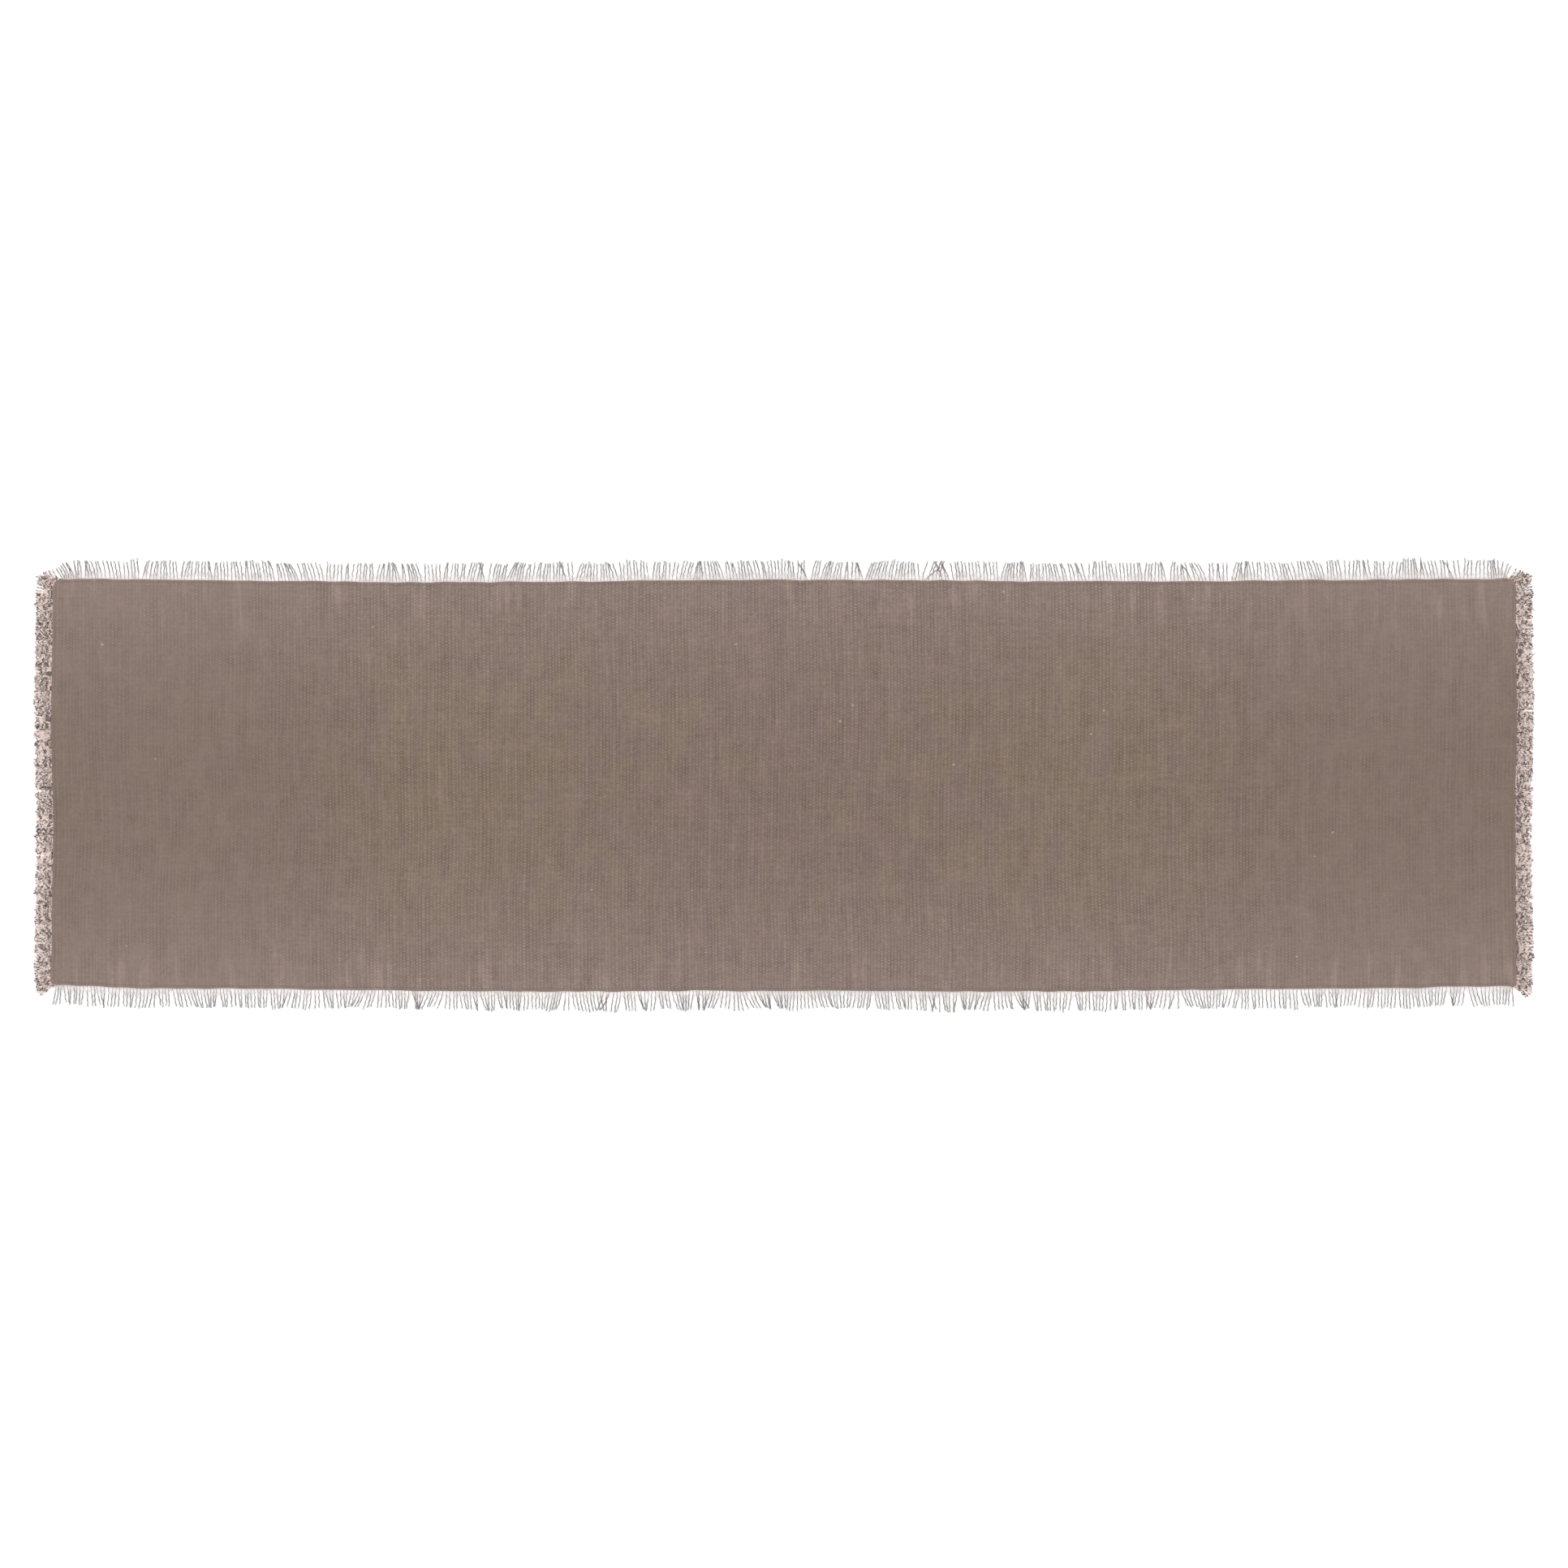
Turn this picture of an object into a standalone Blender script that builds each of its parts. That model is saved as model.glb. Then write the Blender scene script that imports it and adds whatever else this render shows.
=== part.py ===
"""Woven table runner, laid flat: a plain cloth frayed to a fringe on all four sides.

A row of lockstitches just inside each edge stops the fringe from fraying any further. Each
seam is two threads: a needle thread on the top face and a bobbin thread on the underside.

Frame: metres, +X along the runner, +Y across it, +Z up, origin under the middle of the cloth
in the plane that it lies on.
"""

import math

import bmesh
import bpy
from mathutils import Matrix

# Driving dimensions
CLOTH_LENGTH = 1.190  # woven cloth between the end fringes, along X
CLOTH_WIDTH = 0.3325  # woven cloth between the side fringes, along Y
CLOTH_THICKNESS = 0.0014
CORNER_RADIUS = 0.006  # the woven corner, worn round by the fraying
WARP_FRINGE_LENGTH = 0.0146  # frayed lengthwise yarns, past each end
WEFT_FRINGE_LENGTH = 0.0155  # frayed crosswise yarns, past each side
WARP_FRINGE_THICKNESS = 0.0012  # crinkled yarns in a thick mat
WEFT_FRINGE_THICKNESS = 0.0008  # straight yarns in a thin layer
FRINGE_ROOT_BAND = 0.0018  # up to here the yarns still lie side by side
TUFT_PITCH = 0.007  # beyond it they hang together in tufts about this far apart
TUFT_SPACING = 0.001  # open space between the roots of two tufts
TUFT_TIP_SHARE = 0.6  # a tuft's width at its tip, as a share of its width at its root
TUFT_LEAN = 0.0008  # neighbouring tufts lean together in pairs by this much at their tips
SEAM_INSET = 0.002  # from the cloth's edge to the middle of the stitching
SEAM_END_MARGIN = 0.0045  # a side seam stops this far inside the cloth's ends
SEAM_SPACING = 0.0015  # cloth between a side seam's channel and the end of an end seam's
THREAD_DIAMETER = 0.0003
NEEDLE_THREAD_SUNK_SHARE = 0.5  # how much of the needle thread lies below the cloth's top
CLEARANCE = 0.0003  # between two pieces that touch

# How finely round shapes are made
CORNER_SEGMENTS = 5
THREAD_SIDES = 8
CORNER_SPLAY_POWER = 5  # keeps the sideways splay of the tufts to the corners

# Linear colours
CLOTH_COLOUR = (0.250, 0.184, 0.153)
WARP_YARN_COLOUR = (0.300, 0.232, 0.200)
WEFT_YARN_COLOUR = (0.285, 0.235, 0.215)
THREAD_COLOUR = (0.225, 0.168, 0.140)

# Worked out from the above
HALF_LENGTH = CLOTH_LENGTH / 2
HALF_WIDTH = CLOTH_WIDTH / 2
CHANNEL_WIDTH = THREAD_DIAMETER + 2 * CLEARANCE
BOBBIN_CHANNEL_DEPTH = THREAD_DIAMETER + CLEARANCE
NEEDLE_CHANNEL_DEPTH = NEEDLE_THREAD_SUNK_SHARE * THREAD_DIAMETER + CLEARANCE
SIDE_CHANNEL_LENGTH = CLOTH_LENGTH - 2 * SEAM_END_MARGIN
END_CHANNEL_LENGTH = CLOTH_WIDTH - 2 * (SEAM_INSET + CHANNEL_WIDTH / 2 + SEAM_SPACING)

# Each edge of the cloth: name, middle of the edge, turn that points local +Y outwards,
# the edge's length, and whether the lengthwise (warp) yarns end there.
EDGES = (
    ("back", (0, HALF_WIDTH), 0, CLOTH_LENGTH, False),
    ("left", (-HALF_LENGTH, 0), 90, CLOTH_WIDTH, True),
    ("front", (0, -HALF_WIDTH), 180, CLOTH_LENGTH, False),
    ("right", (HALF_LENGTH, 0), 270, CLOTH_WIDTH, True),
)


def clear_scene():
    """Remove every object, so that only the runner is left."""
    for thing in list(bpy.data.objects):
        bpy.data.objects.remove(thing, do_unlink=True)


def make_material(name, colour, roughness):
    """A plain dyed-yarn material."""
    material = bpy.data.materials.new(name)
    material.use_nodes = True
    shader = material.node_tree.nodes["Principled BSDF"]
    shader.inputs["Base Color"].default_value = (*colour, 1.0)
    shader.inputs["Roughness"].default_value = roughness
    shader.inputs["Metallic"].default_value = 0.0
    return material


def make_object(name, mesh_maker, material):
    """A named object holding one mesh with outward faces."""
    mesh = bpy.data.meshes.new(name)
    bm = bmesh.new()
    mesh_maker(bm)
    bmesh.ops.recalc_face_normals(bm, faces=bm.faces)
    bm.to_mesh(mesh)
    bm.free()
    mesh.materials.append(material)
    thing = bpy.data.objects.new(name, mesh)
    bpy.context.scene.collection.objects.link(thing)
    return thing


def place_on_edge(thing, middle, turn):
    """Stand an object on an edge of the cloth, its local +Y pointing away from the cloth."""
    thing.location = (*middle, 0.0)
    thing.rotation_euler = (0.0, 0.0, math.radians(turn))


def rounded_outline(length, width, radius):
    """Points of a rectangle with round corners, counter-clockwise about the origin."""
    points = []
    for quarter, (side_x, side_y) in enumerate(((1, 1), (-1, 1), (-1, -1), (1, -1))):
        centre_x = side_x * (length / 2 - radius)
        centre_y = side_y * (width / 2 - radius)
        for step in range(CORNER_SEGMENTS + 1):
            angle = math.pi / 2 * (quarter + step / CORNER_SEGMENTS)
            points.append((centre_x + radius * math.cos(angle), centre_y + radius * math.sin(angle)))
    return points


def add_prism(bm, bottom, top):
    """A closed body between two outlines that have the same number of points."""
    lower = [bm.verts.new(point) for point in bottom]
    upper = [bm.verts.new(point) for point in top]
    bm.faces.new(lower[::-1])
    bm.faces.new(upper)
    for index in range(len(lower)):
        following = (index + 1) % len(lower)
        bm.faces.new((lower[index], lower[following], upper[following], upper[index]))


def add_box(bm, low, high):
    """A closed box between two opposite corners."""
    outline = ((low[0], low[1]), (high[0], low[1]), (high[0], high[1]), (low[0], high[1]))
    add_prism(bm, [(x, y, low[2]) for x, y in outline], [(x, y, high[2]) for x, y in outline])


def add_cloth_slab(bm):
    """The woven cloth before its seams are sewn."""
    outline = rounded_outline(CLOTH_LENGTH, CLOTH_WIDTH, CORNER_RADIUS)
    add_prism(bm, [(x, y, 0.0) for x, y in outline], [(x, y, CLOTH_THICKNESS) for x, y in outline])


def channel_length(is_end):
    """How long the stitched channel along an edge is."""
    return END_CHANNEL_LENGTH if is_end else SIDE_CHANNEL_LENGTH


def add_channels(bm, length):
    """The two channels that one seam presses into the cloth, above and below, along local X."""
    half = length / 2
    near = -SEAM_INSET - CHANNEL_WIDTH / 2
    far = -SEAM_INSET + CHANNEL_WIDTH / 2
    needle_floor = CLOTH_THICKNESS - NEEDLE_CHANNEL_DEPTH
    add_box(bm, (-half, near, -CLEARANCE), (half, far, BOBBIN_CHANNEL_DEPTH))
    add_box(bm, (-half, near, needle_floor), (half, far, CLOTH_THICKNESS + CLEARANCE))


def make_ground_cloth(material):
    """The woven cloth, with a channel pressed into it along each line of stitches."""
    cloth = make_object("ground_cloth", add_cloth_slab, material)
    for name, middle, turn, _, is_end in EDGES:
        length = channel_length(is_end)
        cutter = make_object(f"channel_cutter_{name}", lambda bm, run=length: add_channels(bm, run), material)
        place_on_edge(cutter, middle, turn)
        cutter.hide_render = True
        cutter.display_type = "WIRE"
        sewn = cloth.modifiers.new(f"seam_{name}", "BOOLEAN")
        sewn.operation = "DIFFERENCE"
        sewn.solver = "EXACT"
        sewn.object = cutter
    return cloth


def add_thread(bm, length, height):
    """One thread of a seam, drawn tight, with its middle at this height."""
    lie_along_x = Matrix.Rotation(math.pi / 2, 4, "Y")
    place = Matrix.Translation((0.0, -SEAM_INSET, height))
    bmesh.ops.create_cone(
        bm,
        cap_ends=True,
        segments=THREAD_SIDES,
        radius1=THREAD_DIAMETER / 2,
        radius2=THREAD_DIAMETER / 2,
        depth=length,
        matrix=place @ lie_along_x,
    )


def make_seam(name, middle, turn, is_end, material):
    """The needle thread and the bobbin thread of the stitching along one edge."""
    length = channel_length(is_end) - 2 * CLEARANCE
    radius = THREAD_DIAMETER / 2
    needle_height = CLOTH_THICKNESS + radius - NEEDLE_THREAD_SUNK_SHARE * THREAD_DIAMETER
    for thread, height in (("needle", needle_height), ("bobbin", radius)):
        piece = make_object(
            f"stay_stitch_{thread}_thread_{name}",
            lambda bm, level=height: add_thread(bm, length, level),
            material,
        )
        place_on_edge(piece, middle, turn)


def tuft_outline(root, tip, root_width, fringe_length):
    """The end of one tuft, from its right side over its tip to its left side."""
    half_root = root_width / 2
    half_tip = TUFT_TIP_SHARE * half_root
    return [
        (root + half_root, FRINGE_ROOT_BAND),
        (tip + half_tip, fringe_length),
        (tip - half_tip, fringe_length),
        (root - half_root, FRINGE_ROOT_BAND),
    ]


def add_tufts(bm, edge_length, fringe_length, thickness):
    """Tufts along the straight part of an edge, held together at their roots.

    They stand on a narrow band, where the yarns come out of the cloth side by side. The tufts
    near a corner splay out over it.
    """
    span = edge_length - 2 * CORNER_RADIUS
    count = round(span / TUFT_PITCH)
    pitch = span / count
    outline = [(-span / 2, CLEARANCE), (span / 2, CLEARANCE)]
    for index in reversed(range(count)):
        root = (index + 0.5) * pitch - span / 2
        splay = CORNER_RADIUS * (2 * root / span) ** CORNER_SPLAY_POWER
        lean = TUFT_LEAN * (1 if index % 2 == 0 else -1)
        outline += tuft_outline(root, root + splay + lean, pitch - TUFT_SPACING, fringe_length)
    add_prism(bm, [(x, y, 0.0) for x, y in outline], [(x, y, thickness) for x, y in outline])


def make_fringe(name, middle, turn, edge_length, is_end, materials):
    """The fringe along one edge: crinkled warp ends at the ends, straight weft ends at the sides."""
    if is_end:
        kind, fringe_length, thickness = "warp", WARP_FRINGE_LENGTH, WARP_FRINGE_THICKNESS
    else:
        kind, fringe_length, thickness = "weft", WEFT_FRINGE_LENGTH, WEFT_FRINGE_THICKNESS
    fringe = make_object(
        f"{kind}_fringe_{name}",
        lambda bm: add_tufts(bm, edge_length, fringe_length, thickness),
        materials[kind],
    )
    place_on_edge(fringe, middle, turn)


def main():
    """Build the whole runner."""
    clear_scene()
    fringe_materials = {
        "warp": make_material("warp_yarn", WARP_YARN_COLOUR, 0.9),
        "weft": make_material("weft_yarn", WEFT_YARN_COLOUR, 0.85),
    }
    thread_material = make_material("sewing_thread", THREAD_COLOUR, 0.6)
    make_ground_cloth(make_material("woven_cloth", CLOTH_COLOUR, 0.9))
    for name, middle, turn, edge_length, is_end in EDGES:
        make_fringe(name, middle, turn, edge_length, is_end, fringe_materials)
        make_seam(name, middle, turn, is_end, thread_material)


main()
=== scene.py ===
"""The looks of a woven table runner with a frayed fringe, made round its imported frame.

The cloth is one closed sheet with a rib for every crosswise yarn, the fringe is made of single
yarns of two or three plies, and the seams are stitched threads. Everything is in metres, +X
along the runner, +Y across it and +Z up.
"""

import logging
import math
from collections.abc import Callable, Mapping, Sequence
from dataclasses import dataclass
from enum import Enum

import bpy
import numpy as np
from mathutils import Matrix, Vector


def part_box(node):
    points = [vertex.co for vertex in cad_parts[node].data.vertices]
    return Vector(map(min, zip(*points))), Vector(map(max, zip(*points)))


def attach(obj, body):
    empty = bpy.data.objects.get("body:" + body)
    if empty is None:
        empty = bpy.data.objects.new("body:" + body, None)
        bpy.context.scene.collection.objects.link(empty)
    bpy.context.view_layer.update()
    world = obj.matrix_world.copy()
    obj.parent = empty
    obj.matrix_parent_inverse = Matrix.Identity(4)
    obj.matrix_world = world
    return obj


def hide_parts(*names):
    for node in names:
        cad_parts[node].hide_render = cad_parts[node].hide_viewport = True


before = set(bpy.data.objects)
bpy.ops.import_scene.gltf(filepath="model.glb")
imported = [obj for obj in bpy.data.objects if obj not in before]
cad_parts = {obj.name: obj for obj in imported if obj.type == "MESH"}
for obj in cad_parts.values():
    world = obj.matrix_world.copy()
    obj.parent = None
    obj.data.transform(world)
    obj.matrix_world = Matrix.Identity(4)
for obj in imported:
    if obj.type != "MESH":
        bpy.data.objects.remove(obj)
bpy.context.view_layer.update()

log = logging.getLogger("runner")

Colour = tuple[float, float, float]
Pair = tuple[float, float]
Array = np.ndarray

ROOT_BODY = "root"
YARN_APART = 400.0  # sets the noise on one yarn well apart from the noise on the next


# ---- the four edges


class Edge(Enum):
    """The four edges of the runner, each with its direction along and its direction outwards."""

    BACK = ("back", (1.0, 0.0), (0.0, 1.0))
    LEFT = ("left", (0.0, 1.0), (-1.0, 0.0))
    FRONT = ("front", (1.0, 0.0), (0.0, -1.0))
    RIGHT = ("right", (0.0, 1.0), (1.0, 0.0))

    @property
    def label(self) -> str:
        """The word that the edge's pieces have in their names."""
        return self.value[0]

    @property
    def along(self) -> Array:
        """Unit direction along the edge."""
        return np.array(self.value[1])

    @property
    def outward(self) -> Array:
        """Unit direction away from the cloth."""
        return np.array(self.value[2])

    @property
    def is_end(self) -> bool:
        """Whether the lengthwise yarns end here."""
        return self in (Edge.LEFT, Edge.RIGHT)


# ---- shader maths


class Socket:
    """An output of a node. Sums written with it add the Math nodes that work them out."""

    def __init__(self, graph: "Graph", output: bpy.types.NodeSocket) -> None:
        """Wraps one output.

        Args:
            graph: the material's node graph.
            output: the node socket that gives the value.
        """
        self.graph = graph
        self.output = output

    def _math(self, operation: str, *values: "Value") -> "Socket":
        """Adds one Math node and returns its result."""
        return self.graph.add("ShaderNodeMath", {"operation": operation}, dict(enumerate(values)))

    def __add__(self, other: "Value") -> "Socket":
        """self + other."""
        return self._math("ADD", self, other)

    __radd__ = __add__

    def __sub__(self, other: "Value") -> "Socket":
        """self - other."""
        return self._math("SUBTRACT", self, other)

    def __rsub__(self, other: "Value") -> "Socket":
        """other - self."""
        return self._math("SUBTRACT", other, self)

    def __mul__(self, other: "Value") -> "Socket":
        """self * other."""
        return self._math("MULTIPLY", self, other)

    __rmul__ = __mul__

    def __pow__(self, power: "Value") -> "Socket":
        """self to a power."""
        return self._math("POWER", self, power)

    def __abs__(self) -> "Socket":
        """The value without its sign."""
        return self._math("ABSOLUTE", self)

    def __mod__(self, other: "Value") -> "Socket":
        """What is left after dividing by other, never negative."""
        return self._math("FLOORED_MODULO", self, other)

    def floor(self) -> "Socket":
        """The whole number below."""
        return self._math("FLOOR", self)

    def sine(self) -> "Socket":
        """Sine of the value in radians."""
        return self._math("SINE", self)

    def cosine(self) -> "Socket":
        """Cosine of the value in radians."""
        return self._math("COSINE", self)

    def larger(self, other: "Value") -> "Socket":
        """The larger of the two values."""
        return self._math("MAXIMUM", self, other)

    def between(self, low: float, high: float) -> "Socket":
        """A smooth step from 0 at low to 1 at high.

        Args:
            low: the value that gives 0.
            high: the value that gives 1.

        Returns:
            The step.
        """
        settings = {"interpolation_type": "SMOOTHSTEP"}
        return self.graph.add("ShaderNodeMapRange", settings, {0: self, 1: low, 2: high, 3: 0.0, 4: 1.0})


Value = Socket | float | tuple


class Graph:
    """The node graph of one material, with a Principled shader already in it."""

    def __init__(self, name: str) -> None:
        """Makes the material.

        Args:
            name: the material's name.
        """
        self.material = bpy.data.materials.new(name)
        self.material.use_nodes = True
        self.tree = self.material.node_tree
        self.shader = self.tree.nodes["Principled BSDF"]

    def add(
        self,
        kind: str,
        settings: Mapping[str, object],
        values: Mapping[int | str, Value],
        result: int | str = 0,
    ) -> Socket:
        """Adds any node.

        Args:
            kind: the node's type.
            settings: its properties, which are set first.
            values: what goes into its sockets, by number or name: links or fixed values.
            result: which output to return, by number or name.

        Returns:
            The chosen output.
        """
        node = self.tree.nodes.new(kind)
        for key, setting in settings.items():
            setattr(node, key, setting)
        for key, value in values.items():
            self.feed(node.inputs[key], value)
        return Socket(self, node.outputs[result])

    def feed(self, target: bpy.types.NodeSocket, value: Value) -> None:
        """Links a socket to a value, or sets it."""
        if isinstance(value, Socket):
            self.tree.links.new(value.output, target)
        else:
            target.default_value = value

    def attribute(self, name: str) -> Socket:
        """A vector stored on the mesh's points."""
        return self.add("ShaderNodeAttribute", {"attribute_name": name}, {}, "Vector")

    def place(self) -> Socket:
        """The point on the piece, in metres."""
        return self.add("ShaderNodeTexCoord", {}, {}, "Object")

    def split(self, vector: Socket) -> tuple[Socket, Socket, Socket]:
        """The three numbers of a vector."""
        node = self.add("ShaderNodeSeparateXYZ", {}, {0: vector}).output.node
        return tuple(Socket(self, output) for output in node.outputs)

    def join(self, x: Value, y: Value, z: Value = 0.0) -> Socket:
        """A vector of three numbers."""
        return self.add("ShaderNodeCombineXYZ", {}, {0: x, 1: y, 2: z})

    def noise(self, x: Value, y: Value, z: Value, lumps: Pair, detail: float = 3.0) -> Socket:
        """Soft noise about 0.

        Args:
            x: where it is read, first way.
            y: where it is read, second way.
            z: the layer, a different pattern for each number.
            lumps: how many lumps there are to one unit of x and of y.
            detail: how many finer layers it has.

        Returns:
            A value of about -1 to 1.
        """
        at = self.join(x * lumps[0], y * lumps[1], z)
        raw = self.add("ShaderNodeTexNoise", {}, {"Vector": at, "Scale": 1.0, "Detail": detail}, "Fac")
        return (raw - 0.5) * 2.0

    def mix(self, share: Value, first: Value, second: Value) -> Socket:
        """Blends two colours.

        Args:
            share: how much of the second colour, from 0 to 1.
            first: the first colour.
            second: the second colour.

        Returns:
            The blended colour.
        """
        colours = [(*c, 1.0) if isinstance(c, tuple) else c for c in (first, second)]
        settings = {"data_type": "RGBA", "clamp_factor": True}
        return self.add("ShaderNodeMix", settings, {0: share, 6: colours[0], 7: colours[1]}, 2)

    def shade(self, colour: Socket, brightness: Socket) -> Socket:
        """A colour made lighter or darker by a factor."""
        scaled = {"operation": "SCALE"}
        return self.add("ShaderNodeVectorMath", scaled, {0: colour, "Scale": brightness})

    def bump(self, height: Socket, depth: float) -> Socket:
        """A normal from a height.

        Args:
            height: the height, from 0 to 1.
            depth: how many metres a height of 1 stands for.

        Returns:
            The normal.
        """
        return self.add("ShaderNodeBump", {}, {"Height": height, "Distance": depth, "Strength": 1.0})

    def finish(self, varying: Mapping[str, Socket], fixed: Mapping[str, Value]) -> bpy.types.Material:
        """Fills in the Principled shader.

        Args:
            varying: links to sockets of the shader.
            fixed: values that are the same all over.

        Returns:
            The finished material.
        """
        for key, value in {**fixed, **varying}.items():
            self.feed(self.shader.inputs[key], value)
        return self.material


# ---- numbers that vary smoothly


@dataclass(frozen=True)
class Ripple:
    """A smooth random field over the table: waves of about one length in many directions."""

    seed: int
    wavelength: float
    amplitude: float
    waves: int = 8

    def at(self, x: Array, y: Array) -> Array:
        """The field's height.

        Args:
            x: places along the runner.
            y: places across it.

        Returns:
            Heights, mostly within the amplitude.
        """
        rng = np.random.default_rng(self.seed)
        total = np.zeros(np.broadcast(x, y).shape)
        for _ in range(self.waves):
            heading = rng.uniform(0, 2 * math.pi)
            number = 2 * math.pi / (self.wavelength * rng.uniform(0.7, 1.6))
            along = x * math.cos(heading) + y * math.sin(heading)
            total += np.sin(number * along + rng.uniform(0, 2 * math.pi))
        return self.amplitude * total / math.sqrt(self.waves)


def smooth_step(value: Array, low: float, high: float) -> Array:
    """A smooth step from 0 at low to 1 at high.

    Args:
        value: where it is read.
        low: the value that gives 0.
        high: the value that gives 1.

    Returns:
        The step.
    """
    share = np.clip((value - low) / (high - low), 0.0, 1.0)
    return share * share * (3 - 2 * share)


def through_points(points: Sequence[tuple[float, float]], at: Array) -> Array:
    """A soft curve through a few points.

    Args:
        points: places and values, in order.
        at: where it is read.

    Returns:
        The values there.
    """
    places = np.array([place for place, _ in points])
    values = np.array([value for _, value in points])
    index = np.clip(np.searchsorted(places, at) - 1, 0, len(places) - 2)
    share = smooth_step((at - places[index]) / (places[index + 1] - places[index]), 0.0, 1.0)
    return values[index] * (1 - share) + values[index + 1] * share


# ---- meshes


@dataclass(frozen=True)
class Shape:
    """Points, faces and point values of a mesh that isn't in the scene yet."""

    vertices: Array  # point, xyz
    faces: list[Array]  # arrays of point numbers, one face in each row
    attributes: dict[str, Array]  # vectors on the points, by name

    def __add__(self, other: "Shape") -> "Shape":
        """Both shapes in one, with the same attributes."""
        vertices = np.concatenate([self.vertices, other.vertices])
        moved = [group + len(self.vertices) for group in other.faces]
        attributes = {
            key: np.concatenate([value, other.attributes[key]]) for key, value in self.attributes.items()
        }
        return Shape(vertices, self.faces + moved, attributes)

    def piece(self, name: str, material: bpy.types.Material) -> bpy.types.Object:
        """Makes a smooth-shaded object.

        Args:
            name: the piece's name.
            material: its finish.

        Returns:
            The new object, in the scene.
        """
        mesh = bpy.data.meshes.new(name)
        faces = [face for group in self.faces for face in group.tolist()]
        mesh.from_pydata(self.vertices.tolist(), [], faces)
        for key, values in self.attributes.items():
            stored = mesh.attributes.new(key, "FLOAT_VECTOR", "POINT")
            stored.data.foreach_set("vector", values.astype(np.float32).ravel())
        mesh.polygons.foreach_set("use_smooth", [True] * len(mesh.polygons))
        mesh.materials.append(material)
        mesh.update()
        piece = bpy.data.objects.new(name, mesh)
        bpy.context.scene.collection.objects.link(piece)
        return piece


def take_place(piece: bpy.types.Object, node: str) -> bpy.types.Object:
    """Puts a piece on the frame in place of a CAD node, which it hides."""
    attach(piece, ROOT_BODY)
    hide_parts(node)
    log.info("%s: %d faces", piece.name, len(piece.data.polygons))
    return piece


@dataclass(frozen=True)
class Tubes:
    """Thin closed tubes along many paths at once."""

    paths: Array  # tube, point, xyz
    radii: Array  # tube, point
    own: Array  # a number from 0 to 1 for each tube
    sides: int = 5

    def shape(self) -> Shape:
        """Makes the tubes.

        The attribute "yarn" on their points holds the distance from the root in metres, the
        tube's own number, and the share of the turn round the tube.

        Returns:
            All the tubes in one shape.
        """
        count, points, _ = self.paths.shape
        turn = np.linspace(0, 2 * math.pi, self.sides, endpoint=False)
        side, up = self._frames()
        spoke = np.cos(turn)[:, None] * side[:, :, None, :] + np.sin(turn)[:, None] * up[:, :, None, :]
        vertices = self.paths[:, :, None, :] + self.radii[:, :, None, None] * spoke
        number = np.arange(count * points * self.sides).reshape(count, points, self.sides)
        following = np.roll(number, -1, axis=2)
        walls = np.stack([number[:, :-1], number[:, 1:], following[:, 1:], following[:, :-1]], axis=-1)
        faces = [walls.reshape(-1, 4), number[:, 0], number[:, -1, ::-1]]
        return Shape(vertices.reshape(-1, 3), faces, {"yarn": self._yarn_attribute(turn)})

    def _frames(self) -> tuple[Array, Array]:
        """Unit directions across each path, sideways and upwards."""
        heading = np.gradient(self.paths, axis=1)
        side = np.cross(heading, (0.0, 0.0, 1.0))
        side /= np.linalg.norm(side, axis=2, keepdims=True)
        up = np.cross(side, heading)
        up /= np.linalg.norm(up, axis=2, keepdims=True)
        return side, up

    def _yarn_attribute(self, turn: Array) -> Array:
        """Distance, the tube's number and the turn, for each point."""
        count, points, _ = self.paths.shape
        steps = np.linalg.norm(np.diff(self.paths, axis=1), axis=2)
        distance = np.concatenate([np.zeros((count, 1)), np.cumsum(steps, axis=1)], axis=1)
        values = np.zeros((count, points, self.sides, 3))
        values[..., 0] = distance[:, :, None]
        values[..., 1] = self.own[:, None, None]
        values[..., 2] = turn / (2 * math.pi)
        return values.reshape(-1, 3)


# ---- finishes


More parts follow.
